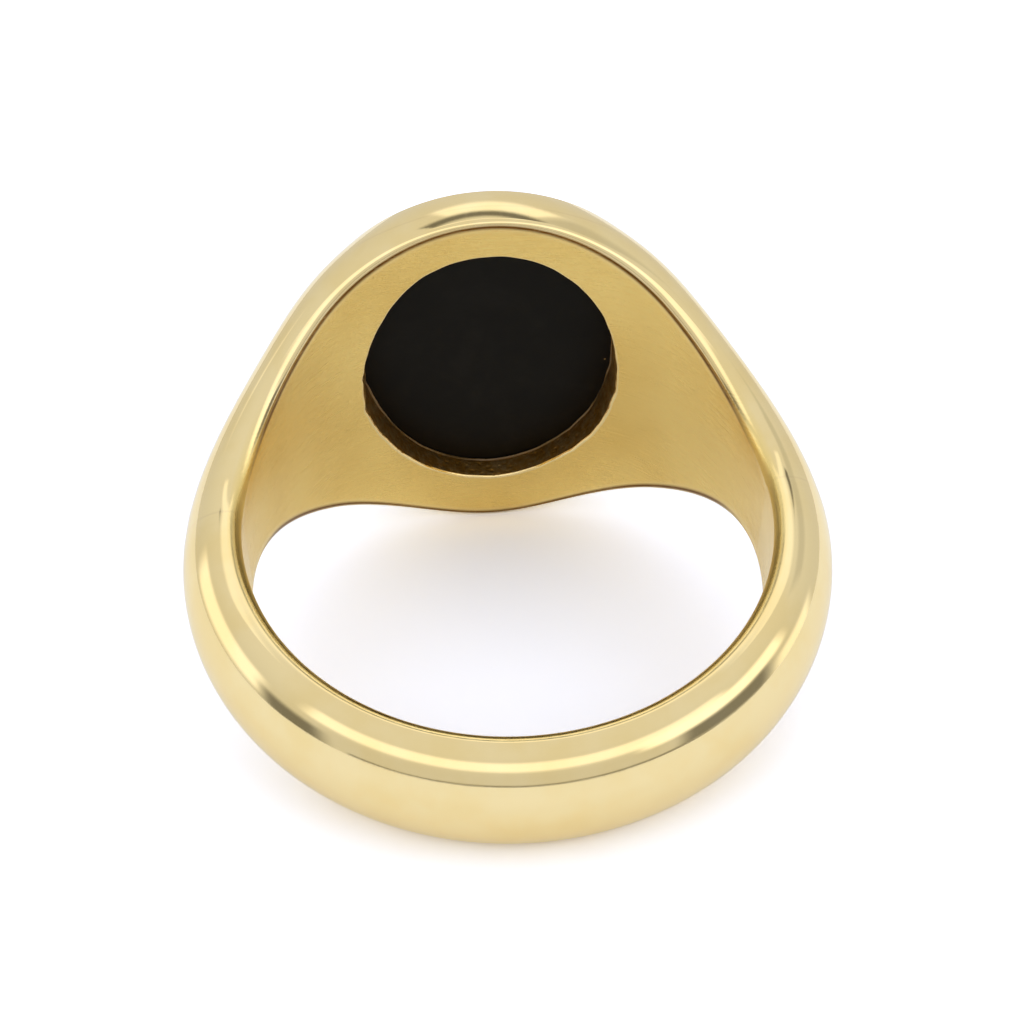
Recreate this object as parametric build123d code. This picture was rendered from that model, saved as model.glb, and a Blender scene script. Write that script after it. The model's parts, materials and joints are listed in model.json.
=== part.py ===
from build123d import *
import math
import os

# A signet ring lying on its side. It is drawn upright first: the finger goes along Y, the head
# is at +Z, and each cross-section stands in a plane through the Y axis. The last step lays it
# down on the rim of its head and the back of its hoop, with the head towards +Y.

# ---- driving dimensions, in millimetres and degrees ----
bore_radius = 9.5          # inside radius of the finger hole
bore_flat_depth = 0.87     # how far the bore wall flattens in under the head
bore_flat_reach = 43.0     # angle from the head's middle at which the wall is round again
bore_allowance = 0.03      # metal left on the head's bore wall for the last cut

shank_half_width = 2.45    # half of the hoop's width along the finger
shank_thickness = 2.3      # from the bore to the crown of the hoop
shank_edge = 0.5           # rounding of the hoop's inner edges

head_half_width = 8.25     # half of the head's width along the finger, at the bore
head_edge = 0.25           # rounding of the head's inner edges
head_reach = 86.0          # angle from the head's middle at which the shoulders end
face_height = 10.9         # from the finger's axis to the flat top of the bezel
face_half_span = 7.2       # half of the face across the finger
dome_height = 6.2          # crown that the head's sides aim at, over the bore
sections_per_side = 8      # cross-sections from the head's middle to a shoulder's end

window_across = 9.84       # oval window through the bore wall, across the finger
window_along = 12.3        # and along it
window_offset = 0.4        # filed this far off the head's middle, towards the upper rim
seat_height = 9.55         # from the finger's axis to the seat under the stone
bed_thickness = 0.1        # solder and cement beds on the seat

stone_across = 12.0        # oval stone at its girdle, across the finger
stone_along = 14.0         # and along it
stone_top = 10.85          # from the finger's axis to the stone's flat top
stone_bevel = 0.35         # sloped edge that the collar is burnished over
collar_gap = 0.02          # air between the stone and the collar
collar_round = 0.3         # rounding of the collar's outer top edge

seam_thickness = 0.1       # solder between a shoulder and the shank

bed_top = seat_height + bed_thickness
seam_sweep = math.degrees(seam_thickness / (bore_radius + shank_thickness / 2))


def fade(angle, reach):
    """1 at the head's middle, 0 from a given angle on, level at both."""
    share = min(abs(angle) / reach, 1.0)
    return math.cos(share * math.pi / 2) ** 2


def between(shank_value, head_value, angle):
    """Value at an angle from the head's middle, from the head's to the shank's."""
    return shank_value + (head_value - shank_value) * fade(angle, head_reach)


def bore_at(angle):
    """Distance from the finger's axis to the bore wall."""
    return bore_radius - bore_flat_depth * fade(angle, bore_flat_reach)


def crown_at(angle):
    """Distance from the finger's axis to the crown of the section.

    Seen along the finger, the shoulders are straight tangents from the hoop's outer circle to
    the corners of the face. Over the face the crown is virtual, and the flat face cuts it off.
    """
    hoop = bore_radius + shank_thickness
    corner = math.hypot(face_half_span, face_height)
    corner_angle = math.degrees(math.atan2(face_half_span, face_height))
    tangent_angle = corner_angle + math.degrees(math.acos(hoop / corner))
    away = abs(angle)
    if away >= tangent_angle:
        return hoop
    if away >= corner_angle:
        return hoop / math.cos(math.radians(tangent_angle - away))
    share = away / corner_angle
    share = share * share * (3 - 2 * share)
    return (1 - share) * (bore_radius + dome_height) + share * corner


def outward_at(angle):
    """Unit vector from the finger's axis, at an angle from the head's middle towards +X."""
    turn = math.radians(angle)
    return Vector(math.sin(turn), 0, math.cos(turn))


def section(angle, allowance=0.0):
    """Cross-section of the ring: bore wall, two rounded inner edges and half an ellipse."""
    outward = outward_at(angle)
    plane = Plane(origin=(0, 0, 0), x_dir=outward, z_dir=outward.cross(Vector(0, 1, 0)))
    half = between(shank_half_width, head_half_width, angle)
    edge = between(shank_edge, head_edge, angle)
    waist = bore_at(angle) + edge
    depth = edge + allowance
    inner = waist - depth
    wall = Line((inner, half - edge), (inner, edge - half))
    low_edge = EllipticalCenterArc((waist, edge - half), depth, edge, 180)
    crown = EllipticalCenterArc((waist, 0), crown_at(angle) - waist, half, -90, arc_size=180)
    high_edge = EllipticalCenterArc((waist, half - edge), depth, edge, 90)
    return plane * Face(Wire([wall, low_edge, crown, high_edge]))


def angles_over(reach, per_side):
    """Evenly spaced angles from one side of the head to the other."""
    return [reach * step / per_side for step in range(-per_side, per_side + 1)]


def bore_cutter():
    """The finger hole as a block: round, but flattened under the head."""
    flat = [outward_at(angle) * bore_at(angle) for angle in angles_over(bore_flat_reach, 6)]
    along = Vector(0, 1, 0)
    tangents = [along.cross(flat[0]), along.cross(flat[-1])]
    back = Vector(0, 0, -bore_radius)
    outline = Wire([Spline(flat, tangents=tangents), ThreePointArc(flat[-1], back, flat[0])])
    reach = 2 * head_half_width
    return Pos(0, -reach / 2, 0) * extrude(Face(outline), reach, dir=(0, 1, 0))


def head_blank():
    """Head and shoulders in one piece, with the crown still standing above the face."""
    angles = angles_over(head_reach, sections_per_side)
    outlines = [section(angle, bore_allowance).outer_wire() for angle in angles]
    return Solid.make_loft(outlines) - bore_cutter()


def hoop_slice(start, sweep):
    """A stretch of the plain hoop, from an angle from the head's middle round by a sweep."""
    return revolve(section(start), Axis.Y, sweep)


def oval(across, along, bottom, top):
    """Upright oval block between two heights."""
    return extrude(Pos(0, 0, bottom) * Ellipse(across / 2, along / 2), top - bottom)


def window(bottom, top):
    """The hole through the bore wall and the cement, behind the stone."""
    return Pos(0, window_offset, 0) * oval(window_across, window_along, bottom, top)


def layer(bottom, top):
    """Everything between two heights above the finger's axis."""
    reach = 4 * bore_radius
    return Pos(0, 0, (bottom + top) / 2) * Box(reach, reach, top - bottom)


def bevelled_oval(grow):
    """The stone's form, larger all round by grow: an upright girdle and a sloped edge."""
    girdle_top = stone_top - stone_bevel
    across = stone_across + 2 * grow
    along = stone_along + 2 * grow
    foot = Pos(0, 0, girdle_top) * Ellipse(across / 2, along / 2)
    head = Pos(0, 0, stone_top) * Ellipse(across / 2 - stone_bevel, along / 2 - stone_bevel)
    return oval(across, along, bed_top, girdle_top) + loft([foot, head])


def make_signet_head(blank):
    return blank - layer(seat_height, 2 * face_height) - window(0, seat_height)


def make_bezel_solder(blank):
    pool = oval(stone_across, stone_along, seat_height, bed_top)
    return (blank & layer(seat_height, bed_top)) - pool


def make_bezel_collar(blank):
    rim = blank & layer(bed_top, face_height)
    top_edges = rim.edges().filter_by(lambda e: abs(e.center().Z - face_height) < 1e-3)
    rim = fillet(top_edges, collar_round)
    narrowing = 2 * (collar_gap - stone_bevel)
    mouth = oval(stone_across + narrowing, stone_along + narrowing, stone_top, face_height)
    return rim - bevelled_oval(collar_gap) - mouth


def make_stone_cement():
    bed = oval(stone_across, stone_along, seat_height, bed_top)
    return bed - window(seat_height, bed_top)


def resting_tilt():
    """Tilt of the finger's axis from upright, with the head's rim and the hoop's back level.

    Both lowest points are found on the section through the middle of the head.
    """
    head_waist = bore_at(0) + head_edge
    back_waist = bore_radius + shank_edge
    back_bulge = shank_thickness - shank_edge

    def head_low(tilt):
        rim = (head_half_width - head_edge) * math.cos(tilt)
        return head_waist * math.sin(tilt) - rim - head_edge

    def back_low(tilt):
        bulge = math.hypot(shank_half_width * math.cos(tilt), back_bulge * math.sin(tilt))
        return -back_waist * math.sin(tilt) - bulge

    low, high = 0.0, math.pi / 4
    for _ in range(50):
        middle = (low + high) / 2
        if head_low(middle) < back_low(middle):
            low = middle
        else:
            high = middle
    return math.degrees(low), -head_low(low)


def build():
    blank = head_blank()
    seam_start = head_reach
    shank_start = head_reach + seam_sweep
    return {
        "shank": hoop_slice(shank_start, 360 - 2 * shank_start),
        "signet_head": make_signet_head(blank),
        "solder_seam_left": hoop_slice(seam_start, seam_sweep),
        "solder_seam_right": hoop_slice(-shank_start, seam_sweep),
        "bezel_solder": make_bezel_solder(blank),
        "bezel_collar": make_bezel_collar(blank),
        "stone_cement": make_stone_cement(),
        "onyx_stone": bevelled_oval(0),
    }


def lay_down(pieces):
    """Turn the ring onto its side, resting on Z = 0, centred from the hoop's back to the face."""
    tilt, lift = resting_tilt()
    turn = Rot(0, 0, 180) * Rot(90 - tilt, 0, 0)
    turned = {name: turn * piece for name, piece in pieces.items()}
    back = turned["shank"].bounding_box().min.Y
    front = turned["bezel_collar"].bounding_box().max.Y
    place = Pos(0, -(back + front) / 2, lift)
    print("tilt", round(tilt, 4), "finger's axis through", place.position)
    return {name: place * piece for name, piece in turned.items()}


os.makedirs("parts", exist_ok=True)
for name, piece in lay_down(build()).items():
    export_step(piece, f"parts/{name}.step")
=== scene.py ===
import json
import math

import bpy
import numpy as np
from mathutils import Matrix, Vector


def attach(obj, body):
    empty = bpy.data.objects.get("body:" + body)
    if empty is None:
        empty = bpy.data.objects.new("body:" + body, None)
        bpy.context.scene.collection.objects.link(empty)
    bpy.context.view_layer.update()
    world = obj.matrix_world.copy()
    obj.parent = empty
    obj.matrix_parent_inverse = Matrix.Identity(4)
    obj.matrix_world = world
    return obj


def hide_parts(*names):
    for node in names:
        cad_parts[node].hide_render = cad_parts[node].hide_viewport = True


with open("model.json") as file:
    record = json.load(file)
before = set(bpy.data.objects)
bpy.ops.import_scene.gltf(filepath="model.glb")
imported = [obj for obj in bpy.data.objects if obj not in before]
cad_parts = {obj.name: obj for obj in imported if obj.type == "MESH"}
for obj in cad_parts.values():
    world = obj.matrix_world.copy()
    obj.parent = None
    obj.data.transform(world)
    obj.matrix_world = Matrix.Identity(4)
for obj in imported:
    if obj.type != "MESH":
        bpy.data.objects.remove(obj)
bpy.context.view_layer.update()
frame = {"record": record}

# The ring is drawn upright in millimetres, with the finger along y and the head at +z,
# and is then laid down on the finger's axis that the record gives.
millimetre = 0.001
fingerHole = next(m for m in frame["record"]["mounts"] if m["name"] == "finger_hole")
axisPoint = np.array(fingerHole["pos_m"])
fingerAxis = np.array(fingerHole["axis"])
acrossAxis = np.array((-1.0, 0.0, 0.0))
headAxis = np.cross(acrossAxis, fingerAxis)
ringAxes = np.array((acrossAxis, fingerAxis, headAxis))

ringForm = {
    "boreRadius": 9.5,
    "boreFlatDepth": 0.87,      # the wall flattens in by this much under the head
    "boreFlatReach": 43.0,      # degrees from the head's middle
    "hoopHalfWidth": 2.45,
    "hoopThickness": 2.3,
    "hoopEdge": 0.5,            # rounding of the inner edges
    "seamThickness": 0.1,       # solder between a shoulder and the hoop
    "headHalfWidth": 8.25,
    "headEdge": 0.25,
    "headReach": 86.0,          # degrees from the head's middle to the solder seams
    "faceHeight": 10.9,
    "faceHalfSpan": 7.2,
    "domeHeight": 6.2,
    "shoulderBlend": 5.0,       # degrees over which the face's corners are dressed round
}
seatForm = {
    "height": 9.55,
    "bedTop": 9.65,
    "windowAcross": 9.84,
    "windowAlong": 12.3,
    "windowOffset": 0.4,
    "edgeRounding": 0.09,
    "unevenness": 0.05,         # how far the hand-filed window strays from a true oval
}
stoneForm = {
    "across": 12.0,
    "along": 14.0,
    "top": 10.85,
    "bevel": 0.35,
    "gap": 0.02,
    "collarRound": 0.3,
}


def layDown(points):
    return axisPoint + millimetre * (np.asarray(points) @ ringAxes)


def turnDown(directions):
    return np.asarray(directions) @ ringAxes


# How the ring's section changes round the finger
def fade(angle, reach):
    share = np.minimum(np.abs(angle) / reach, 1.0)
    return np.cos(share * math.pi / 2) ** 2


def boreAt(angle):
    return ringForm["boreRadius"] - ringForm["boreFlatDepth"] * fade(angle, ringForm["boreFlatReach"])


def between(hoopValue, headValue, angle):
    return hoopValue + (headValue - hoopValue) * fade(angle, ringForm["headReach"])


def halfAt(angle):
    return between(ringForm["hoopHalfWidth"], ringForm["headHalfWidth"], angle)


def edgeAt(angle):
    return between(ringForm["hoopEdge"], ringForm["headEdge"], angle)


def waistAt(angle):
    return boreAt(angle) + edgeAt(angle)


def crownTable():
    # straight shoulders from the hoop's circle to the face's corners, then dressed smooth
    hoop = ringForm["boreRadius"] + ringForm["hoopThickness"]
    corner = math.hypot(ringForm["faceHalfSpan"], ringForm["faceHeight"])
    cornerAngle = math.degrees(math.atan2(ringForm["faceHalfSpan"], ringForm["faceHeight"]))
    tangentAngle = cornerAngle + math.degrees(math.acos(hoop / corner))
    angles = np.linspace(-180, 180, 7201)
    away = np.abs(angles)
    share = np.clip(away / cornerAngle, 0, 1)
    share = share * share * (3 - 2 * share)
    face = (1 - share) * (ringForm["boreRadius"] + ringForm["domeHeight"]) + share * corner
    lean = np.radians(np.clip(tangentAngle - away, 0, 60))
    crown = np.where(away < cornerAngle, face, hoop / np.cos(lean))
    spread = ringForm["shoulderBlend"]
    reach = np.arange(-4 * spread, 4 * spread + 0.025, 0.05)
    weights = np.exp(-(reach / spread) ** 2 / 2)
    padded = np.pad(crown, len(reach) // 2, mode="wrap")
    return angles, np.convolve(padded, weights / weights.sum(), mode="valid")


crownAngles, crownHeights = crownTable()


def crownAt(angle):
    return np.interp(angle, crownAngles, crownHeights)


def pointAt(angle, radius, along):
    turn = np.radians(angle)
    return np.stack(np.broadcast_arrays(radius * np.sin(turn), along, radius * np.cos(turn)), -1)


def outerSurface(angle, lift):
    waist = waistAt(angle)
    radius = waist + (crownAt(angle) - waist) * np.sin(lift)
    return pointAt(angle, radius, halfAt(angle) * np.cos(lift))


def boreSurface(angle, along):
    return pointAt(angle, boreAt(angle), along)


def normalsOf(surface, first, second, firstStep, secondStep):
    alongFirst = surface(first + firstStep, second) - surface(first - firstStep, second)
    alongSecond = surface(first, second + secondStep) - surface(first, second - secondStep)
    normal = np.cross(alongFirst, alongSecond)
    return normal / np.linalg.norm(normal, axis=-1, keepdims=True)


def outerNormals(angle, lift):
    return normalsOf(outerSurface, angle, lift, 0.25, 0.01)


def liftOf(points):
    angle = np.degrees(np.arctan2(points[..., 0], points[..., 2]))
    radius = np.hypot(points[..., 0], points[..., 2])
    waist = waistAt(angle)
    return angle, np.arctan2((radius - waist) / (crownAt(angle) - waist), points[..., 1] / halfAt(angle))


def outlineAt(height, turns):
    # the head's outside at one height above the finger, in given directions from its middle
    low = np.full_like(turns, 3.0)
    high = np.full_like(turns, 13.0)
    height = np.broadcast_to(height, turns.shape)
    for _ in range(42):
        middle = (low + high) / 2
        x = middle * np.cos(turns)
        y = middle * np.sin(turns)
        angle = np.degrees(np.arctan2(x, height))
        waist = waistAt(angle)
        rise = (np.hypot(x, height) - waist) / (crownAt(angle) - waist)
        inside = rise ** 2 + (y / halfAt(angle)) ** 2 < 1
        low = np.where(inside, middle, low)
        high = np.where(inside, high, middle)
    return np.stack((low * np.cos(turns), low * np.sin(turns), height), -1)


def ovalRing(across, along, height, turns, offset=0.0):
    # a true ellipse met in the same directions from the head's middle
    reach = 1 / np.hypot(np.cos(turns) / (across / 2), np.sin(turns) / (along / 2))
    height = np.broadcast_to(height, turns.shape)
    return np.stack((reach * np.cos(turns), reach * np.sin(turns) + offset, height), -1)


# Meshes made of strips round a middle, each with its own shading normals
def blendRings(first, last, steps, power=1.0):
    share = (np.linspace(0, 1, steps + 1) ** power)[None, :, None]
    return first[:, None] * (1 - share) + last[:, None] * share


def stripNormals(points):
    around = np.roll(points, -1, 0) - np.roll(points, 1, 0)
    along = np.gradient(points, axis=1, edge_order=2 if points.shape[1] > 2 else 1)
    normal = np.cross(around, along)
    return normal / np.maximum(np.linalg.norm(normal, axis=-1, keepdims=True), 1e-12)


def cornersOf(values):
    onward = np.roll(values, -1, 0)
    return np.stack((values[:, :-1], onward[:, :-1], onward[:, 1:], values[:, 1:]), 2)


def ringMesh(name, strips, material):
    points = np.concatenate([s["points"][:, :-1] for s in strips], 1)
    spokes, columns = points.shape[:2]
    index = np.arange(spokes * columns).reshape(spokes, columns)
    index = np.concatenate((index, index[:, :1]), 1)
    faces = cornersOf(index)
    corners = points.reshape(-1, 3)[faces]
    diagonals = np.cross(corners[:, :, 2] - corners[:, :, 0], corners[:, :, 3] - corners[:, :, 1])
    inward = (corners.mean(2) * diagonals).sum() < 0
    normals, satin, cast, darkening, wrap = [], [], [], [], []
    start = 0
    for strip in strips:
        width = strip["points"].shape[1] - 1
        normal = strip.get("normals")
        normal = stripNormals(strip["points"]) if normal is None else normal
        if normal.ndim == 3:
            normal = cornersOf(normal)
        facing = diagonals[:, start:start + width] * (-1 if inward else 1)
        normals.append(normal * (1 if (normal.mean(2) * facing).sum() > 0 else -1))
        shape = normal.shape[:3]
        for mask, key in ((satin, "satin"), (cast, "cast"), (darkening, "darkening")):
            value = strip.get(key, 0.0)
            mask.append(cornersOf(value) if isinstance(value, np.ndarray) else np.full(shape, value))
        wrap.append(cornersOf(strip["wrap"] if "wrap" in strip else strip["points"][..., :2] / 10))
        start += width
    joined = [np.concatenate(part, 1) for part in (normals, satin, cast, darkening, wrap)]
    parts = [faces.reshape(-1, 4)] + [part.reshape((-1,) + part.shape[2:]) for part in joined]
    if inward:
        parts = [part[:, ::-1] for part in parts]
    faces, normals, satin, cast, darkening, wrap = parts
    masks = {"satin": satin.ravel(), "cast": cast.ravel(), "darkening": darkening.ravel()}
    return finishMesh(name, layDown(points.reshape(-1, 3)), faces, turnDown(normals.reshape(-1, 3)),
                      masks, wrap.reshape(-1, 2), material)


def finishMesh(name, points, faces, normals, masks, wrap, material):
    mesh = bpy.data.meshes.new(name)
    mesh.from_pydata(points.tolist(), [], faces.tolist())
    mesh.shade_smooth()
    for key, values in masks.items():
        mesh.attributes.new(key, "FLOAT", "CORNER").data.foreach_set("value", values.astype(np.float32))
    mesh.uv_layers.new(name="wrap").data.foreach_set("uv", wrap.astype(np.float32).ravel())
    mesh.normals_split_custom_set(normals.tolist())
    piece = bpy.data.objects.new(name, mesh)
    bpy.context.scene.collection.objects.link(piece)
    mesh.materials.append(material)
    return piece


def addNode(tree, kind, feed=None, **settings):
    node = tree.nodes.new(kind)
    for key, value in settings.items():
        setattr(node, key, value)
    for key, value in (feed or {}).items():
        if isinstance(value, bpy.types.NodeSocket):
            tree.links.new(value, node.inputs[key])
        else:
            node.inputs[key].default_value = value
    return node


def calc(tree, operation, *values, clamp=False):
    feed = dict(enumerate(values))
    return addNode(tree, "ShaderNodeMath", feed, operation=operation, use_clamp=clamp).outputs[0]


def ease(tree, value, low, high, start=0.0, end=1.0, smooth=True):
    kind = "SMOOTHSTEP" if smooth else "LINEAR"
    feed = {"Value": value, "From Min": low, "From Max": high, "To Min": start, "To Max": end}
    return addNode(tree, "ShaderNodeMapRange", feed, interpolation_type=kind, clamp=True).outputs["Result"]


def mixColor(tree, share, first, second, blend="MIX"):
    node = addNode(tree, "ShaderNodeMix", data_type="RGBA", blend_type=blend, clamp_factor=True)
    for socket, value in ((node.inputs[0], share), (node.inputs[6], first), (node.inputs[7], second)):
        if isinstance(value, bpy.types.NodeSocket):
            tree.links.new(value, socket)
        else:
            socket.default_value = value
    return node.outputs[2]


def mixValue(tree, share, first, second):
    return addNode(tree, "ShaderNodeMix", {0: share, 2: first, 3: second}, data_type="FLOAT").outputs[0]


def noise(tree, vector, scale, detail=3.0, roughness=0.5, distortion=0.0):
    feed = {"Vector": vector, "Scale": scale, "Detail": detail, "Roughness": roughness, "Distortion": distortion}
    return addNode(tree, "ShaderNodeTexNoise", feed).outputs["Fac"]


def shaderGroup(name, inputs, outputs):
    tree = bpy.data.node_groups.new(name, "ShaderNodeTree")
    for label, kind, value in inputs:
        socket = tree.interface.new_socket(label, in_out="INPUT", socket_type=kind)
        if value is not None:
            socket.default_value = value
    for label in outputs:
        tree.interface.new_socket(label, in_out="OUTPUT", socket_type="NodeSocketFloat")
    return tree, tree.nodes.new("NodeGroupInput").outputs, tree.nodes.new("NodeGroupOutput").inputs


# Polishing: a slight hand-worked waviness and hairlines that run round the finger
def makePolishGroup():
    tree, given, out = shaderGroup("handPolish", [
        ("Object", "NodeSocketVector", None), ("Wrap", "NodeSocketVector", None),
        ("Waviness", "NodeSocketFloat", 1.0), ("Hairlines", "NodeSocketFloat", 1.0)], ["Height", "Haze"])
    wave = noise(tree, given["Object"], 260.0, 1.0, 0.4)
    ripple = noise(tree, given["Object"], 900.0, 2.0, 0.5)
    stretched = addNode(tree, "ShaderNodeMapping", {"Vector": given["Wrap"], "Scale": (3.0, 260.0, 1.0)})
    hair = noise(tree, stretched.outputs[0], 1.0, 4.0, 0.7)
    crossed = addNode(tree, "ShaderNodeMapping",
                      {"Vector": given["Wrap"], "Scale": (40.0, 9.0, 1.0), "Rotation": (0, 0, 0.5)})
    stray = noise(tree, crossed.outputs[0], 3.0, 4.0, 0.65)
    hair = calc(tree, "ADD", calc(tree, "MULTIPLY", hair, 0.8), calc(tree, "MULTIPLY", stray, 0.2))
    body = calc(tree, "ADD", calc(tree, "MULTIPLY", wave, 1.0), calc(tree, "MULTIPLY", ripple, 0.12))
    tree.links.new(calc(tree, "ADD", calc(tree, "MULTIPLY", body, given["Waviness"]),
                        calc(tree, "MULTIPLY", hair, given["Hairlines"])), out["Height"])
    drift = calc(tree, "MULTIPLY", calc(tree, "SUBTRACT", wave, 0.5), 0.3)
    tree.links.new(ease(tree, calc(tree, "ADD", hair, drift), 0.42, 0.72), out["Haze"])
    return tree


# Cast skin: pits and grains of the sawn and cast window wall
def makeCastGroup():
    tree, given, out = shaderGroup("castSkin", [
        ("Object", "NodeSocketVector", None), ("Grain", "NodeSocketFloat", 2600.0)], ["Height", "Tarnish"])
    grain = noise(tree, given["Object"], given["Grain"], 4.0, 0.65)
    cells = addNode(tree, "ShaderNodeTexVoronoi", {"Vector": given["Object"],
                    "Scale": calc(tree, "MULTIPLY", given["Grain"], 1.4)}, feature="F1").outputs["Distance"]
    pits = calc(tree, "MULTIPLY", ease(tree, cells, 0.0, 0.45, 1.0, 0.0), 0.35)
    tree.links.new(calc(tree, "SUBTRACT", grain, pits), out["Height"])
    tree.links.new(ease(tree, grain, 0.35, 0.7, 1.0, 0.0), out["Tarnish"])
    return tree


polishGroup = makePolishGroup()
castGroup = makeCastGroup()


def newMaterial(name):
    material = bpy.data.materials.new(name)
    material.use_nodes = True
    tree = material.node_tree
    tree.nodes.clear()
    output = tree.nodes.new("ShaderNodeOutputMaterial")
    shader = tree.nodes.new("ShaderNodeBsdfPrincipled")
    tree.links.new(shader.outputs[0], output.inputs[0])
    return material, tree, shader


goldLook = {
    "bright": (0.955, 0.785, 0.43, 1),
    "deep": (0.93, 0.74, 0.365, 1),
    # satin gold, its colour deepened to paint in the warm light bounced about inside the ring
    "satinBounceColor": (0.965, 0.745, 0.285, 1),
    "satinDeep": (0.82, 0.57, 0.17, 1),
    "castColor": (0.74, 0.39, 0.07, 1),
    "darkeningColor": (0.17, 0.075, 0.016, 1),    # painted dark reflection line for the rim's inner corner; also darkens the window wall near the stone
    "wornSoftness": 0.5,
    "polishRoughness": 0.055,
    "satinRoughness": 0.24,
    "castRoughness": 0.42,
}


def makeGold(name, look, tint=(1, 1, 1, 1)):
    material, tree, shader = newMaterial(name)
    place = addNode(tree, "ShaderNodeTexCoord")
    wrap = addNode(tree, "ShaderNodeUVMap", uv_map="wrap").outputs[0]
    satin = addNode(tree, "ShaderNodeAttribute", attribute_name="satin").outputs["Fac"]
    cast = addNode(tree, "ShaderNodeAttribute", attribute_name="cast").outputs["Fac"]
    darkening = addNode(tree, "ShaderNodeAttribute", attribute_name="darkening").outputs["Fac"]
    polish = addNode(tree, "ShaderNodeGroup", node_tree=polishGroup)
    for key, value in (("Object", place.outputs["Object"]), ("Wrap", wrap)):
        tree.links.new(value, polish.inputs[key])
    tree.links.new(ease(tree, satin, 0, 1, 0.06, 1.0, False), polish.inputs["Hairlines"])
    skin = addNode(tree, "ShaderNodeGroup", node_tree=castGroup)
    tree.links.new(place.outputs["Object"], skin.inputs["Object"])
    haze, tarnish = polish.outputs["Haze"], skin.outputs["Tarnish"]
    cloud = noise(tree, place.outputs["Object"], 420.0, 3.0, 0.55)
    color = mixColor(tree, ease(tree, cloud, 0.35, 0.7), look["bright"], look["deep"])
    handled = ease(tree, noise(tree, place.outputs["Object"], 170.0, 2.0, 0.4), 0.42, 0.72, 0.0, 0.65)
    # the satin colour is partly the satin finish and partly painted bounce light
    ground = mixColor(tree, handled, look["satinBounceColor"], look["satinDeep"])
    color = mixColor(tree, satin, color, ground)
    stained = calc(tree, "MULTIPLY", cast, ease(tree, tarnish, 0, 1, 0.55, 1.0))
    color = mixColor(tree, stained, color, look["castColor"])
    # painted dark reflection line in the rim's corner, and a darker window wall near the stone
    left = calc(tree, "MULTIPLY", darkening, ease(tree, haze, 0, 1, 1.0, 0.8))
    color = mixColor(tree, left, color, look["darkeningColor"])
    color = mixColor(tree, 1.0, color, tint, "MULTIPLY")
    tree.links.new(color, shader.inputs["Base Color"])
    shader.inputs["Metallic"].default_value = 1.0
    rough = calc(tree, "ADD", look["polishRoughness"], calc(tree, "MULTIPLY", haze, 0.035))
    satinRough = calc(tree, "ADD", look["satinRoughness"], calc(tree, "MULTIPLY", haze, 0.12))
    rough = mixValue(tree, satin, rough, satinRough)
    worn = calc(tree, "MAXIMUM", calc(tree, "SUBTRACT", satin, 1.0), 0.0)
    rough = calc(tree, "ADD", rough, calc(tree, "MULTIPLY", worn, look["wornSoftness"]))
    rough = mixValue(tree, cast, rough, look["castRoughness"])
    tree.links.new(rough, shader.inputs["Roughness"])
    height = calc(tree, "ADD", calc(tree, "MULTIPLY", polish.outputs["Height"], 0.000012),
                  calc(tree, "MULTIPLY", skin.outputs["Height"], calc(tree, "MULTIPLY", cast, 0.00005)))
    bump = addNode(tree, "ShaderNodeBump", {"Strength": 1.0, "Distance": 1.0, "Height": height})
    tree.links.new(bump.outputs[0], shader.inputs["Normal"])
    return material


goldMaterial = makeGold("polishedGold", goldLook)
solderMaterial = makeGold("goldSolder", goldLook, (0.97, 0.96, 0.97, 1))

onyxLook = {
    "black": (0.0022, 0.0021, 0.0019, 1),
    "cloud": (0.005, 0.0046, 0.004, 1),
    "speck": (0.30, 0.20, 0.07, 1),
    "faceRoughness": 0.06,
    "backRoughness": 0.5,
}


def makeOnyx(look):
    # "satin" marks the fine-ground back
    material, tree, shader = newMaterial("blackOnyx")
    place = addNode(tree, "ShaderNodeTexCoord").outputs["Object"]
    back = addNode(tree, "ShaderNodeAttribute", attribute_name="satin").outputs["Fac"]
    cloud = noise(tree, place, 500.0, 4.0, 0.6, 0.4)
    color = mixColor(tree, ease(tree, cloud, 0.45, 0.75), look["black"], look["cloud"])
    cells = addNode(tree, "ShaderNodeTexVoronoi",
                    {"Vector": place, "Scale": 1500.0, "Randomness": 1.0}, feature="F1")
    dots = ease(tree, cells.outputs["Distance"], 0.05, 0.10, 1.0, 0.0)
    drawn = addNode(tree, "ShaderNodeSeparateColor", {0: cells.outputs["Color"]}).outputs[0]
    chosen = calc(tree, "GREATER_THAN", drawn, 0.985)
    dust = calc(tree, "MULTIPLY", calc(tree, "MULTIPLY", dots, chosen), back)
    tree.links.new(mixColor(tree, dust, color, look["speck"]), shader.inputs["Base Color"])
    grain = noise(tree, place, 9000.0, 3.0, 0.6)
    wide = noise(tree, place, 350.0, 2.0, 0.5)
    rough = mixValue(tree, back, look["faceRoughness"], look["backRoughness"])
    tree.links.new(calc(tree, "ADD", rough, calc(tree, "MULTIPLY", wide, 0.05)), shader.inputs["Roughness"])
    height = calc(tree, "ADD", calc(tree, "MULTIPLY", grain, calc(tree, "MULTIPLY", back, 0.000003)),
                  calc(tree, "MULTIPLY", wide, 0.000003))
    bump = addNode(tree, "ShaderNodeBump", {"Strength": 1.0, "Distance": 1.0, "Height": height})
    tree.links.new(bump.outputs[0], shader.inputs["Normal"])
    shader.inputs["IOR"].default_value = 1.54
    shader.inputs["Specular IOR Level"].default_value = 0.12
    return material


cementLook = {
    "dark": (0.10, 0.055, 0.016, 1),
    "clear": (0.26, 0.16, 0.055, 1),
    "smoothest": 0.22,
    "roughest": 0.4,
}


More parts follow.
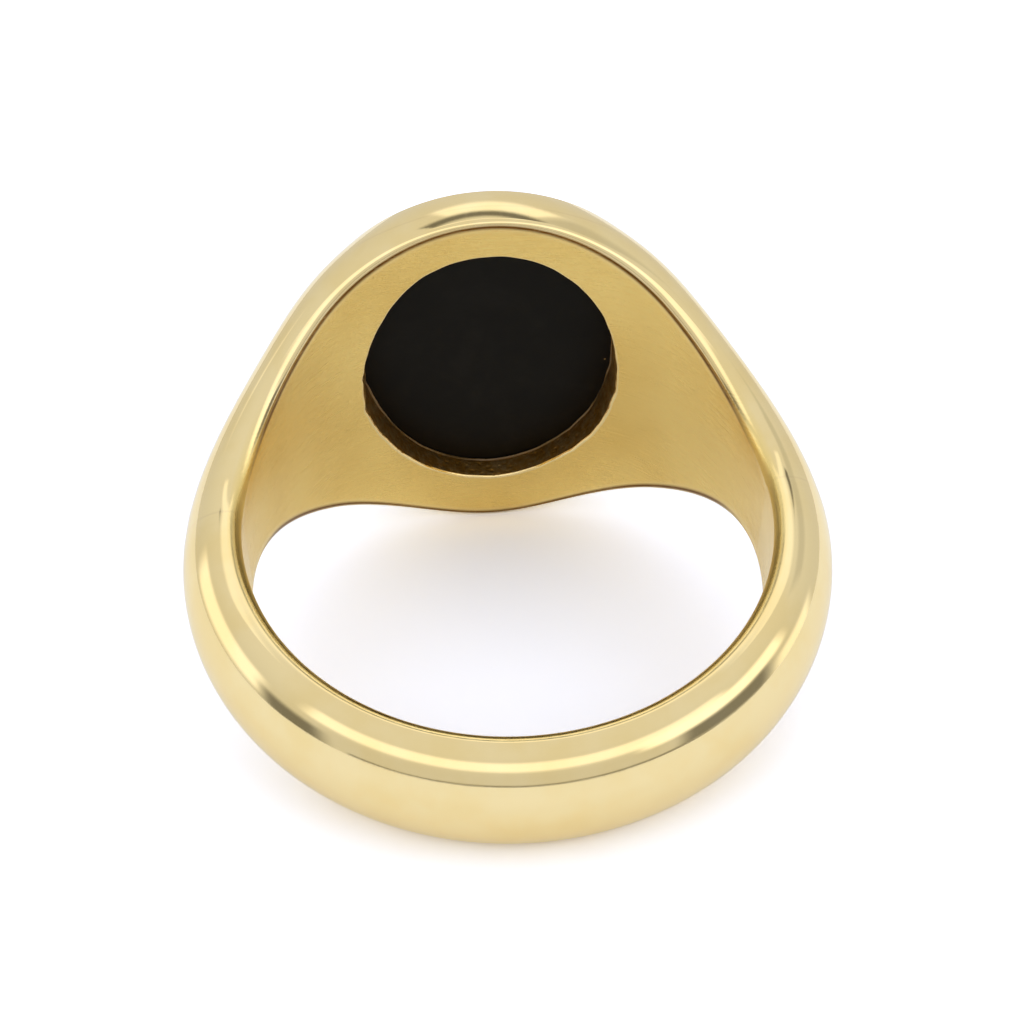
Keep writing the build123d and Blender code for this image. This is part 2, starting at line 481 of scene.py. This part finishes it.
def makeCement(look):
    material, tree, shader = newMaterial("settingCement")
    place = addNode(tree, "ShaderNodeTexCoord").outputs["Object"]
    cloud = noise(tree, place, 1200.0, 3.0, 0.6)
    bubbles = noise(tree, place, 5200.0, 2.0, 0.5)
    tree.links.new(mixColor(tree, cloud, look["dark"], look["clear"]), shader.inputs["Base Color"])
    tree.links.new(ease(tree, bubbles, 0.3, 0.7, look["smoothest"], look["roughest"]), shader.inputs["Roughness"])
    bump = addNode(tree, "ShaderNodeBump", {"Strength": 1.0, "Distance": 1.0,
                   "Height": calc(tree, "MULTIPLY", cloud, 0.00004)})
    tree.links.new(bump.outputs[0], shader.inputs["Normal"])
    shader.inputs["IOR"].default_value = 1.5
    return material


onyxMaterial = makeOnyx(onyxLook)
cementMaterial = makeCement(cementLook)
print("finishes made")

# Hoop and solder seams: one section drawn round an arc.
# Wall, first edge, crown and second edge end at these shares of the section.
sectionParts = (0.0, 0.16, 0.26, 0.90, 1.0)


wearAndReflectionForm = {
    "edgeSoftness": 1.7,        # satin past 1 is a worn and rougher edge
    "hoopWallSatin": 0.8,
    "rimFrom": 58.0,            # degrees at which the head's rim begins to soften towards the seams
    "rimOver": 24.0,
    "darkReflectionEnds": 78.0,       # degrees past which the painted dark reflection line in the corner stops
    "darkReflectionOver": 14.0,
    "darkReflectionOnWall": 0.13,     # how far it reaches over the wall
    "darkReflectionOnRim": (1.0, 1.0, 0.75, 0.35, 0.1),
    "satinAtRim": 0.35,
    "satinOver": 0.5,
}
wrapLength = 1.065              # centimetres of hoop for each radian


def makeHoopTree():
    tree = bpy.data.node_groups.new("hoopAlongArc", "GeometryNodeTree")
    for label, kind, value in (
            ("Bore Radius", "NodeSocketFloat", 9.5), ("Thickness", "NodeSocketFloat", 2.3),
            ("Half Width", "NodeSocketFloat", 2.45), ("Edge", "NodeSocketFloat", 0.5),
            ("Start Angle", "NodeSocketFloat", 0.0), ("Sweep", "NodeSocketFloat", 90.0),
            ("Steps", "NodeSocketInt", 8), ("Section Steps", "NodeSocketInt", 100),
            ("Gold", "NodeSocketMaterial", None)):
        socket = tree.interface.new_socket(label, in_out="INPUT", socket_type=kind)
        if value is not None:
            socket.default_value = value
    tree.interface.new_socket("Geometry", in_out="OUTPUT", socket_type="NodeSocketGeometry")
    given = tree.nodes.new("NodeGroupInput").outputs
    # two extra columns shrink to a point and close the ends
    columns = calc(tree, "ADD", given["Steps"], 3.0)
    grid = addNode(tree, "GeometryNodeMeshGrid", {"Size X": 1.0, "Size Y": 1.0, "Vertices X": columns,
                   "Vertices Y": calc(tree, "ADD", given["Section Steps"], 1.0)})
    where = addNode(tree, "ShaderNodeSeparateXYZ", {0: addNode(tree, "GeometryNodeInputPosition").outputs[0]})
    column = calc(tree, "MULTIPLY", calc(tree, "ADD", where.outputs[0], 0.5),
                  calc(tree, "ADD", given["Steps"], 2.0))
    onArc = calc(tree, "DIVIDE", calc(tree, "SUBTRACT", column, 1.0), given["Steps"], clamp=True)
    closing = calc(tree, "MULTIPLY", calc(tree, "GREATER_THAN", column, 0.5),
                   calc(tree, "LESS_THAN", column, calc(tree, "ADD", given["Steps"], 1.5)))
    share = calc(tree, "ADD", where.outputs[1], 0.5)
    wall = ease(tree, share, sectionParts[0], sectionParts[1], -1.0, 1.0, False)
    first = ease(tree, share, sectionParts[1], sectionParts[2], 0.0, math.pi / 2, False)
    crown = ease(tree, share, sectionParts[2], sectionParts[3], 0.0, math.pi, False)
    second = ease(tree, share, sectionParts[3], sectionParts[4], 0.0, math.pi / 2, False)
    edge, half = given["Edge"], given["Half Width"]
    along = calc(tree, "MULTIPLY", wall, calc(tree, "SUBTRACT", half, edge))
    along = calc(tree, "MULTIPLY_ADD", edge, calc(tree, "SINE", first), along)
    along = calc(tree, "MULTIPLY_ADD", half, calc(tree, "SUBTRACT", calc(tree, "COSINE", crown), 1.0), along)
    along = calc(tree, "MULTIPLY_ADD", edge, calc(tree, "SUBTRACT", 1.0, calc(tree, "COSINE", second)), along)
    sunk = calc(tree, "SUBTRACT", 1.0, calc(tree, "COSINE", first))
    radius = calc(tree, "MULTIPLY_ADD", edge, sunk, given["Bore Radius"])
    bulge = calc(tree, "SUBTRACT", given["Thickness"], edge)
    radius = calc(tree, "MULTIPLY_ADD", bulge, calc(tree, "SINE", crown), radius)
    radius = calc(tree, "SUBTRACT", radius, calc(tree, "MULTIPLY", edge, calc(tree, "SINE", second)))
    middle = calc(tree, "MULTIPLY_ADD", given["Thickness"], 0.4, given["Bore Radius"])
    radius = calc(tree, "MULTIPLY_ADD", calc(tree, "SUBTRACT", radius, middle), closing, middle)
    along = calc(tree, "MULTIPLY", along, closing)
    turn = calc(tree, "RADIANS", calc(tree, "MULTIPLY_ADD", onArc, given["Sweep"], given["Start Angle"]))
    spot = addNode(tree, "ShaderNodeCombineXYZ", {0: calc(tree, "MULTIPLY", radius, calc(tree, "SINE", turn)), 1: along,
                   2: calc(tree, "MULTIPLY", radius, calc(tree, "COSINE", turn))})
    moved = addNode(tree, "GeometryNodeSetPosition",
                    {"Geometry": grid.outputs["Mesh"], "Position": spot.outputs[0]})
    merged = addNode(tree, "GeometryNodeMergeByDistance", {"Geometry": moved.outputs[0], "Distance": 0.0001})
    real = addNode(tree, "GeometryNodeRealizeInstances", {"Geometry": merged.outputs[0]})
    dressed = addNode(tree, "GeometryNodeSetMaterial", {"Geometry": real.outputs[0], "Material": given["Gold"]})
    tree.links.new(dressed.outputs[0], tree.nodes.new("NodeGroupOutput").inputs["Geometry"])
    return tree


def evaluated(name, tree, values):
    holder = bpy.data.objects.new(name + "Maker", bpy.data.meshes.new(name + "Maker"))
    bpy.context.scene.collection.objects.link(holder)
    modifier = holder.modifiers.new("shape", "NODES")
    modifier.node_group = tree
    for item in tree.interface.items_tree:
        if item.in_out == "INPUT" and item.name in values:
            modifier[item.identifier] = values[item.name]
    graph = bpy.context.evaluated_depsgraph_get()
    mesh = bpy.data.meshes.new_from_object(holder.evaluated_get(graph))
    holder.modifiers.clear()
    bpy.data.objects.remove(holder)
    return mesh


def hoopNormals(points):
    # exact normals of the hoop's section, so that the polish runs unbroken over the seams
    angle = np.arctan2(points[:, 0], points[:, 2])
    radius = np.hypot(points[:, 0], points[:, 2])
    half, edge = ringForm["hoopHalfWidth"], ringForm["hoopEdge"]
    waist = ringForm["boreRadius"] + edge
    bulge = ringForm["hoopThickness"] - edge
    past = np.clip(np.abs(points[:, 1]) - (half - edge), 0, None) * np.sign(points[:, 1])
    outside = radius >= waist - 1e-6
    out = np.where(outside, (radius - waist) / bulge ** 2, radius - waist)
    side = np.where(outside, points[:, 1] / half ** 2, past)
    length = np.hypot(out, side)
    out, side = out / length, side / length
    return np.stack((out * np.sin(angle), side, out * np.cos(angle)), -1)


hoopTree = makeHoopTree()


def makeHoopPiece(name, start, sweep, steps, material):
    values = {
        "Bore Radius": ringForm["boreRadius"], "Thickness": ringForm["hoopThickness"],
        "Half Width": ringForm["hoopHalfWidth"], "Edge": ringForm["hoopEdge"],
        "Start Angle": start, "Sweep": sweep, "Steps": steps, "Section Steps": 200, "Gold": material}
    source = evaluated(name, hoopTree, values)
    points = np.array([v.co[:] for v in source.vertices])
    faces = [tuple(p.vertices) for p in source.polygons]
    bpy.data.meshes.remove(source)
    loops = np.array([v for face in faces for v in face])
    sizes = np.array([len(face) for face in faces])
    owner = np.repeat(np.arange(len(faces)), sizes)
    starts = np.cumsum(sizes) - sizes
    corner, second, third = (points[loops[starts + k]] for k in range(3))
    flat = np.cross(second - corner, third - corner)
    flat /= np.linalg.norm(flat, axis=1, keepdims=True)
    middles = np.array([points[list(face)].mean(0) for face in faces])
    turn = np.arctan2(middles[:, 0], middles[:, 2])
    ends = np.abs(flat[:, 0] * np.cos(turn) - flat[:, 2] * np.sin(turn)) > 0.9
    outward = (flat[~ends] * hoopNormals(middles[~ends])).sum(1).mean() > 0
    smooth = hoopNormals(points)[loops]
    normals = np.where(ends[owner][:, None], flat[owner] * (1 if outward else -1), smooth)
    radius = np.hypot(points[:, 0], points[:, 2])
    # the satin runs out over the inner edge, which is softer than the polished crown
    inEdge = np.clip((radius - ringForm["boreRadius"]) / ringForm["hoopEdge"], 0, 1)
    onWall = np.where(inEdge > 0.02, wearAndReflectionForm["edgeSoftness"] * (1 - inEdge), wearAndReflectionForm["hoopWallSatin"])
    onWall = onWall[loops] * ~ends[owner]
    turns = np.arctan2(points[:, 0], points[:, 2])[loops]
    first = turns[starts][owner]
    turns = turns + 2 * math.pi * np.round((first - turns) / (2 * math.pi))
    wrap = np.stack((turns * wrapLength, points[loops, 1] / 10), -1)
    if not outward:
        order = np.concatenate([np.arange(s + n - 1, s - 1, -1) for s, n in zip(starts, sizes)])
        faces = [face[::-1] for face in faces]
        normals, onWall, wrap = normals[order], onWall[order], wrap[order]
    mesh = bpy.data.meshes.new(name)
    mesh.from_pydata(layDown(points).tolist(), [], faces)
    mesh.shade_smooth()
    mesh.attributes.new("satin", "FLOAT", "CORNER").data.foreach_set("value", onWall.astype(np.float32))
    mesh.attributes.new("cast", "FLOAT", "CORNER")
    mesh.attributes.new("darkening", "FLOAT", "CORNER")
    mesh.uv_layers.new(name="wrap").data.foreach_set("uv", wrap.astype(np.float32).ravel())
    mesh.normals_split_custom_set(turnDown(normals).tolist())
    mesh.materials.append(material)
    piece = bpy.data.objects.new(name, mesh)
    bpy.context.scene.collection.objects.link(piece)
    return piece


seamSweep = math.degrees(ringForm["seamThickness"] / (ringForm["boreRadius"] + ringForm["hoopThickness"] / 2))
hoopStart = ringForm["headReach"] + seamSweep
hoop = makeHoopPiece("hoop", hoopStart, 360 - 2 * hoopStart, 380, goldMaterial)
seamLeft = makeHoopPiece("seamLeft", ringForm["headReach"], seamSweep, 2, solderMaterial)
seamRight = makeHoopPiece("seamRight", -hoopStart, seamSweep, 2, solderMaterial)
print("hoop and seams made")

# Head: spokes from the window, over the bore wall, round the rim and up to the stone's seat
sideSpokes = 250
endSpokes = 16


def headSpokes():
    reach = ringForm["headReach"]
    down = np.linspace(reach, -reach, sideSpokes, endpoint=False)
    across = np.linspace(1, -1, endSpokes, endpoint=False)
    angle = np.concatenate((down, np.full(endSpokes, -reach), -down, np.full(endSpokes, reach)))
    side = np.concatenate((np.ones(sideSpokes), across, -np.ones(sideSpokes), -across))
    isEnd = np.tile(np.repeat((False, True), (sideSpokes, endSpokes)), 2)
    turns = np.arctan2(side * halfAt(angle) / ringForm["headHalfWidth"], angle / reach)
    return angle, side, isEnd, turns


def windowRing(turns, height, grow=0.0):
    ring = ovalRing(seatForm["windowAcross"] + 2 * grow, seatForm["windowAlong"] + 2 * grow, height, turns,
                    seatForm["windowOffset"])
    stray = 0.5 * np.sin(3 * turns + 0.7) + 0.35 * np.sin(5 * turns + 2.1) + 0.25 * np.sin(9 * turns + 4.4)
    stray = stray + 0.12 * np.sin(23 * turns + 1.0) + 0.1 * np.sin(37 * turns + 3.0)
    for spot, depth, width in ((0.16, 1.1, 0.035), (-0.2, 0.8, 0.05), (3.3, 0.6, 0.06), (-2.2, 0.5, 0.04)):
        gap = (turns - spot + math.pi) % (2 * math.pi) - math.pi
        stray = stray + depth * np.exp(-(gap / width) ** 2)
    push = 1 + seatForm["unevenness"] * stray / np.hypot(ring[:, 0], ring[:, 1])
    ring[:, 0] *= push
    ring[:, 1] = (ring[:, 1] - seatForm["windowOffset"]) * push + seatForm["windowOffset"]
    return ring


def boreAngleAt(x):
    angle = np.degrees(np.arcsin(x / ringForm["boreRadius"]))
    for _ in range(30):
        angle = np.degrees(np.arcsin(x / boreAt(angle)))
    return angle


def boreHeightAt(x):
    angle = boreAngleAt(x)
    return boreAt(angle) * np.cos(np.radians(angle))


def wrapOf(points):
    turn = np.arctan2(points[..., 0], points[..., 2])
    return np.stack((turn * wrapLength, points[..., 1] / 10), -1)


def makeHead():
    angle, side, isEnd, turns = headSpokes()
    cut = outlineAt(seatForm["height"], turns)
    opening = windowRing(turns, seatForm["height"])
    rounding = seatForm["edgeRounding"]
    seat = {"points": blendRings(cut, opening, 4)}
    lower = opening.copy()
    lower[:, 2] = boreHeightAt(lower[:, 0]) + rounding
    # darker near the stone, fading out towards the bore
    nearStone = np.broadcast_to(np.linspace(0.45, 0, 9), (len(turns), 9))
    windowWall = {"points": blendRings(opening, lower, 8), "cast": 1.0, "darkening": nearStone.copy()}
    grown = windowRing(turns, 0.0, rounding)
    bend = np.linspace(0, math.pi / 2, 7)[None, :, None]
    plan = opening[:, None, :2] + (grown - opening)[:, None, :2] * (1 - np.cos(bend))
    rise = boreHeightAt(plan[..., 0]) + rounding * (1 - np.sin(bend[..., 0]))
    windowEdge = {"points": np.concatenate((plan, rise[..., None]), -1),
                  "cast": np.broadcast_to(np.linspace(1, 0, 7) ** 6, plan.shape[:2]).copy()}
    # bore wall, from the rounded window edge to the rims and the soldered ends
    inset = halfAt(angle) - edgeAt(angle)
    start = np.stack((boreAngleAt(grown[:, 0]), grown[:, 1]), -1)
    wall = blendRings(start, np.stack((angle, side * inset), -1), 44, 1.15)
    wallPoints = boreSurface(wall[..., 0], wall[..., 1])
    fromRim = (halfAt(wall[..., 0]) - edgeAt(wall[..., 0])) - np.abs(wall[..., 1])
    reached = np.clip((wearAndReflectionForm["darkReflectionEnds"] - np.abs(angle)) / wearAndReflectionForm["darkReflectionOver"], 0, 1)[:, None]
    # the painted dark reflection line runs a little way onto the wall from the rim
    boreWall = {"points": wallPoints, "wrap": wrapOf(wallPoints),
                "satin": np.clip(wearAndReflectionForm["satinAtRim"] + fromRim / wearAndReflectionForm["satinOver"], 0, 1),
                "darkening": np.clip(1 - fromRim / wearAndReflectionForm["darkReflectionOnWall"], 0, 1) * reached,
                "normals": normalsOf(boreSurface, wall[..., 0], wall[..., 1], 0.05, 0.01)}
    # rim edge, a quarter round; on the ends a flat face instead
    bends = np.linspace(0, math.pi / 2, 11)[None]

    def rimSurface(turn, bend):
        edge = edgeAt(turn)
        return pointAt(turn, waistAt(turn) - edge * np.cos(bend),
                       np.where(side < 0, -1, 1)[:, None] * (halfAt(turn) - edge + edge * np.sin(bend)))
    angles = np.broadcast_to(angle[:, None], (len(angle), 11))
    rim = rimSurface(angles, bends)
    lift = np.where(isEnd, (1 - side) / 2 * math.pi, np.where(side > 0, 0.0, math.pi))
    innerEnd = boreSurface(angle, side * inset)
    outerEnd = outerSurface(angle, lift)
    chord = blendRings(innerEnd, outerEnd, 10)
    rimChord = blendRings(rim[:, 0], rim[:, -1], 10)
    flatEnd = chord + (rim - rimChord) * (np.abs(side) ** 16)[:, None, None]
    points = np.where(isEnd[:, None, None], flatEnd, rim)
    points[:, 0], points[:, -1] = innerEnd, outerEnd
    rounded = cornersOf(normalsOf(rimSurface, angles, bends, 0.05, 0.01))
    endFace = isEnd & np.roll(isEnd | (np.abs(side) == 1), -1) & (np.roll(angle, -1) == angle)
    turn, way = np.radians(angle), np.sign(angle)
    flat = np.stack((np.cos(turn) * way, 0 * angle, -np.sin(turn) * way), -1)
    away = rim[:, :1, None] - pointAt(angle, waistAt(angle), 0)[:, None, None]
    facing = rounded * np.sign((rounded[:, :1, :1] * away).sum(-1, keepdims=True))
    rimNormals = np.where(endFace[:, None, None, None], flat[:, None, None], facing)
    # a dark reflection line is painted into the corner between the satin wall and the rim
    corner = np.array(wearAndReflectionForm["darkReflectionOnRim"] + (0.0,) * 6)[None] * reached
    # towards the seams the edge softens as it does on the hoop
    soft = np.clip((np.abs(angle) - wearAndReflectionForm["rimFrom"]) / wearAndReflectionForm["rimOver"], 0, 1)[:, None]
    soft = soft * wearAndReflectionForm["edgeSoftness"] * np.cos(bends)
    rimEdge = {"points": points, "normals": rimNormals, "wrap": wrapOf(points), "darkening": corner, "satin": soft}
    # outside, from the rim up to the cut under the collar
    cutAngle, cutLift = liftOf(cut)
    outside = blendRings(np.stack((angle, lift), -1), np.stack((cutAngle, cutLift), -1), 64, 1.1)
    outsidePoints = outerSurface(outside[..., 0], outside[..., 1])
    outsidePoints[:, -1] = cut
    outer = {"points": outsidePoints, "wrap": wrapOf(outsidePoints),
             "normals": outerNormals(outside[..., 0], outside[..., 1])}
    return ringMesh("head", [seat, windowWall, windowEdge, boreWall, rimEdge, outer], goldMaterial)


head = makeHead()
print("head made")

# Bezel collar, solder, stone and cement
bezelTurns = np.linspace(0, 2 * math.pi, 480, endpoint=False)


def outsideStrip(low, high, steps):
    rings = [outlineAt(low + (high - low) * k / steps, bezelTurns) for k in range(steps + 1)]
    points = np.stack(rings, 1)
    angle, lift = liftOf(points)
    return {"points": points, "normals": outerNormals(angle, lift), "wrap": wrapOf(points)}


def makeCollar():
    face, rounding = ringForm["faceHeight"], stoneForm["collarRound"]
    height = np.full_like(bezelTurns, face - rounding)
    for _ in range(6):
        ring = outlineAt(height, bezelTurns)
        normal = outerNormals(*liftOf(ring))
        normal = normal * np.sign((normal * (ring - (0, 0, 6.0))).sum(-1, keepdims=True))
        height = face - rounding * (1 - normal[:, 2])
    outer = outsideStrip(seatForm["bedTop"], height, 12)
    side = outer["points"]
    centre = ring - rounding * normal
    lean = np.arccos(np.clip(normal[:, 2], -1, 1))
    flatDirection = normal[:, :2] / np.linalg.norm(normal[:, :2], axis=1, keepdims=True)
    tilts = lean[:, None] * np.linspace(1, 0, 11)[None]
    sideways = flatDirection[:, None] * np.sin(tilts)[..., None]
    arc = np.concatenate((sideways, np.cos(tilts)[..., None]), -1)
    shoulder = {"points": centre[:, None] + rounding * arc, "normals": arc}
    shoulder["points"][:, 0] = side[:, -1]
    across, along = stoneForm["across"] + 2 * stoneForm["gap"], stoneForm["along"] + 2 * stoneForm["gap"]
    bevel, top = stoneForm["bevel"], stoneForm["top"]
    lipTop = ovalRing(across - 2 * bevel + 0.06, along - 2 * bevel + 0.06, face, bezelTurns)
    lipSide = ovalRing(across - 2 * bevel, along - 2 * bevel, face - 0.03, bezelTurns)
    lipLow = ovalRing(across - 2 * bevel, along - 2 * bevel, top, bezelTurns)
    girdle = ovalRing(across, along, top - bevel, bezelTurns)
    pocket = ovalRing(across, along, seatForm["bedTop"], bezelTurns)
    strips = [outer, shoulder]
    for first, last, steps in ((shoulder["points"][:, -1], lipTop, 6), (lipTop, lipSide, 2), (lipSide, lipLow, 1),
                               (lipLow, girdle, 2), (girdle, pocket, 2), (pocket, side[:, 0], 2)):
        strips.append({"points": blendRings(first, last, steps)})
    return ringMesh("collar", strips, goldMaterial)


def makeBezelSolder():
    outer = outsideStrip(seatForm["height"], seatForm["bedTop"], 2)
    innerTop = ovalRing(stoneForm["across"], stoneForm["along"], seatForm["bedTop"], bezelTurns)
    innerLow = ovalRing(stoneForm["across"], stoneForm["along"], seatForm["height"], bezelTurns)
    strips = [outer]
    for first, last, steps in ((outer["points"][:, -1], innerTop, 3), (innerTop, innerLow, 1),
                               (innerLow, outer["points"][:, 0], 3)):
        strips.append({"points": blendRings(first, last, steps)})
    return ringMesh("bezelSolder", strips, solderMaterial)


def makeCementBed():
    low, top = seatForm["height"], seatForm["bedTop"]
    outerLow = ovalRing(stoneForm["across"], stoneForm["along"], low, bezelTurns)
    outerTop = ovalRing(stoneForm["across"], stoneForm["along"], top, bezelTurns)
    innerTop, innerLow = windowRing(bezelTurns, top), windowRing(bezelTurns, low)
    # a little cement has squeezed out past the window's edge
    bulge = 0.035 + 0.03 * np.sin(7 * bezelTurns + 1.3) * np.sin(3 * bezelTurns)
    swell = np.sin(np.linspace(0, math.pi, 7))[None, :, None] * bulge[:, None, None]
    bead = blendRings(innerTop, innerLow, 6)
    inward = -innerTop[:, :2] / np.linalg.norm(innerTop[:, :2], axis=1, keepdims=True)
    bead[..., :2] += inward[:, None] * swell
    strips = [{"points": blendRings(outerLow, outerTop, 1)}, {"points": blendRings(outerTop, innerTop, 3)},
              {"points": bead}, {"points": blendRings(innerLow, outerLow, 3)}]
    return ringMesh("cementBed", strips, cementMaterial)


def makeStone():
    across, along, top, bevel = (stoneForm[key] for key in ("across", "along", "top", "bevel"))
    bed = seatForm["bedTop"]
    levels = []    # across, along, height and how finely ground each ring is
    for share in np.linspace(0, 1, 7)[1:]:
        levels.append((share * (across - 0.3), share * (along - 0.3), bed, 1.0))
    levels += [(across - 0.06, along - 0.06, bed + 0.02, 1.0), (across, along, bed + 0.08, 0.0)]
    levels += [(across, along, top - bevel - 0.03, 0.0), (across - 0.03, along - 0.03, top - bevel + 0.02, 0.0)]
    levels += [(across - 2 * bevel + 0.05, along - 2 * bevel + 0.05, top - 0.03, 0.0),
               (across - 2 * bevel - 0.03, along - 2 * bevel - 0.03, top, 0.0)]
    for share in np.linspace(1, 0, 7)[1:-1]:
        levels.append((share * (across - 2 * bevel), share * (along - 2 * bevel), top, 0.0))
    rings = np.stack([ovalRing(a, b, h, bezelTurns) for a, b, h, _ in levels], 1)
    ground = np.array([g for *_, g in levels])
    spokes, columns = rings.shape[:2]
    points = np.concatenate((rings.reshape(-1, 3), ((0, 0, bed), (0, 0, top))))
    index = np.arange(spokes * columns).reshape(spokes, columns)
    onward = np.roll(index, -1, 0)
    quads = np.stack((index[:, :-1], index[:, 1:], onward[:, 1:], onward[:, :-1]), -1).reshape(-1, 4)
    foot, crown = len(points) - 2, len(points) - 1
    caps = [(foot, a, b) for a, b in zip(index[:, 0], onward[:, 0])]
    caps += [(crown, b, a) for a, b in zip(index[:, -1], onward[:, -1])]
    mesh = bpy.data.meshes.new("stone")
    mesh.from_pydata(layDown(points).tolist(), [], quads.tolist() + caps)
    mesh.shade_smooth()
    mesh.set_sharp_from_angle(angle=math.radians(25))
    level = np.append(np.tile(ground, spokes), (1.0, 0.0))
    loops = np.array([loop.vertex_index for loop in mesh.loops])
    mesh.attributes.new("satin", "FLOAT", "CORNER").data.foreach_set("value", level[loops].astype(np.float32))
    mesh.materials.append(onyxMaterial)
    stone = bpy.data.objects.new("stone", mesh)
    bpy.context.scene.collection.objects.link(stone)
    return stone


collar = makeCollar()
bezelSolder = makeBezelSolder()
cementBed = makeCementBed()
stone = makeStone()
print("bezel and stone made")

for piece, node, slot in ((hoop, "shank", "gold"), (head, "signet_head", "gold"),
                          (collar, "bezel_collar", "gold"), (seamLeft, "solder_seam_left", "gold_solder"),
                          (seamRight, "solder_seam_right", "gold_solder"),
                          (bezelSolder, "bezel_solder", "gold_solder"), (cementBed, "stone_cement", "cement"),
                          (stone, "onyx_stone", "onyx")):
    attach(piece, "root")
    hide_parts(node)

# Table, light and camera
# The studio round the ring. Azimuth 0 is behind the ring, 90 to the right, 180 behind the camera; elevation is
# above the table. Each patch is azimuth, elevation, half width, half height, softness and brightness.
studio = {
    "top": 0.80,
    "walls": 0.70,
    "seen": 1.15,
    "tableSeen": (1.46, 1.54, 1.82, 1),         # the table is exposed to pure white
    "tableMirrored": (1.10, 1.12, 1.16, 1),     # and is as bright in the polished gold
    "patches": (
        (180, 8, 60, 14, 6, 0.70),       # dull front of the tent
        (180, 39, 64, 10, 4, 1.25),      # long light over the camera
        (120, 30, 26, 9, 4, 1.4),        # right light
        (88, 3, 10, 9, 4, 1.2),
        (-80, 16, 20, 12, 4, 1.25),      # left light
        (118, 10, 16, 10, 4, 0.24),
        (-111, 2, 11, 15, 5, 0.22),
        (8, 43, 28, 6, 3, 1.2),          # light behind the ring
        (58, 43, 17, 7, 4, 0.62),
        (0, 65, 60, 5, 3, 1.1),
        (4, 53, 44, 3, 2, 0.2),          # dark bar of the frame
        (180, 1.5, 50, 1.5, 1, 0.30),    # gap between the table and the tent
    ),
}


def makeTable():
    size = 1.6
    mesh = bpy.data.meshes.new("table")
    mesh.from_pydata([(-size, -size, 0), (size, -size, 0), (size, size, 0), (-size, size, 0)], [], [(0, 1, 2, 3)])
    material, tree, shader = newMaterial("tablePaper")
    place = addNode(tree, "ShaderNodeTexCoord").outputs["Object"]
    paper = mixColor(tree, noise(tree, place, 900.0), (0.90, 0.915, 0.94, 1), (0.92, 0.935, 0.96, 1))
    path = addNode(tree, "ShaderNodeLightPath").outputs
    mirrored = mixColor(tree, path["Is Glossy Ray"], paper, studio["tableMirrored"])
    color = mixColor(tree, path["Is Camera Ray"], mirrored, studio["tableSeen"])
    tree.links.new(color, shader.inputs["Base Color"])
    tree.links.new(ease(tree, noise(tree, place, 500.0), 0, 1, 0.75, 0.9), shader.inputs["Roughness"])
    shader.inputs["Specular IOR Level"].default_value = 0.1
    mesh.materials.append(material)
    table = bpy.data.objects.new("table", mesh)
    bpy.context.scene.collection.objects.link(table)


def makeStudio(look):
    world = bpy.data.worlds.new("studio")
    bpy.context.scene.world = world
    world.use_nodes = True
    tree = world.node_tree
    tree.nodes.clear()
    way = addNode(tree, "ShaderNodeSeparateXYZ", {0: addNode(tree, "ShaderNodeTexCoord").outputs["Generated"]})
    azimuth = calc(tree, "DEGREES", calc(tree, "ARCTAN2", way.outputs[0], way.outputs[1]))
    elevation = calc(tree, "DEGREES", calc(tree, "ARCSINE", way.outputs[2]))
    bright = ease(tree, elevation, 0, 70, look["walls"], look["top"])
    for middle, height, width, tall, soft, value in look["patches"]:
        gap = calc(tree, "WRAP", calc(tree, "SUBTRACT", azimuth, float(middle)), 180.0, -180.0)
        away = calc(tree, "ABSOLUTE", gap)
        beside = ease(tree, away, width - soft, width + soft, 1.0, 0.0)
        over = calc(tree, "ABSOLUTE", calc(tree, "SUBTRACT", elevation, float(height)))
        above = ease(tree, over, tall - soft, tall + soft, 1.0, 0.0)
        share = calc(tree, "MULTIPLY", beside, above)
        bright = mixValue(tree, share, bright, float(value))
    seen = addNode(tree, "ShaderNodeLightPath").outputs["Is Camera Ray"]
    bright = mixValue(tree, seen, bright, look["seen"])
    back = addNode(tree, "ShaderNodeBackground", {"Color": (1, 1, 1, 1), "Strength": bright})
    tree.links.new(back.outputs[0], tree.nodes.new("ShaderNodeOutputWorld").inputs[0])


cameraPlace = {
    "aim": (0.303, 1.135, 5.851),    # millimetres
    "azimuth": -3.631,
    "elevation": 33.154,
    "distance": 75.0,
    "roll": -1.596,
    "lens": 70.9,
}


def makeCamera(place):
    camera = bpy.data.objects.new("camera", bpy.data.cameras.new("camera"))
    camera.data.lens = place["lens"]
    camera.data.sensor_width = 36.0
    camera.data.clip_start = 0.001
    azimuth, elevation = math.radians(place["azimuth"]), math.radians(place["elevation"])
    level = math.cos(elevation)
    away = Vector((math.sin(azimuth) * level, -math.cos(azimuth) * level, math.sin(elevation)))
    turn = away.to_track_quat("Z", "Y").to_matrix() @ Matrix.Rotation(math.radians(place["roll"]), 3, "Z")
    spot = millimetre * (Vector(place["aim"]) + place["distance"] * away)
    camera.matrix_world = Matrix.Translation(spot) @ turn.to_4x4()
    bpy.context.scene.collection.objects.link(camera)
    bpy.context.scene.camera = camera


makeTable()
makeStudio(studio)
makeCamera(cameraPlace)
bpy.context.scene.view_settings.view_transform = "Standard"
print("studio and camera set")
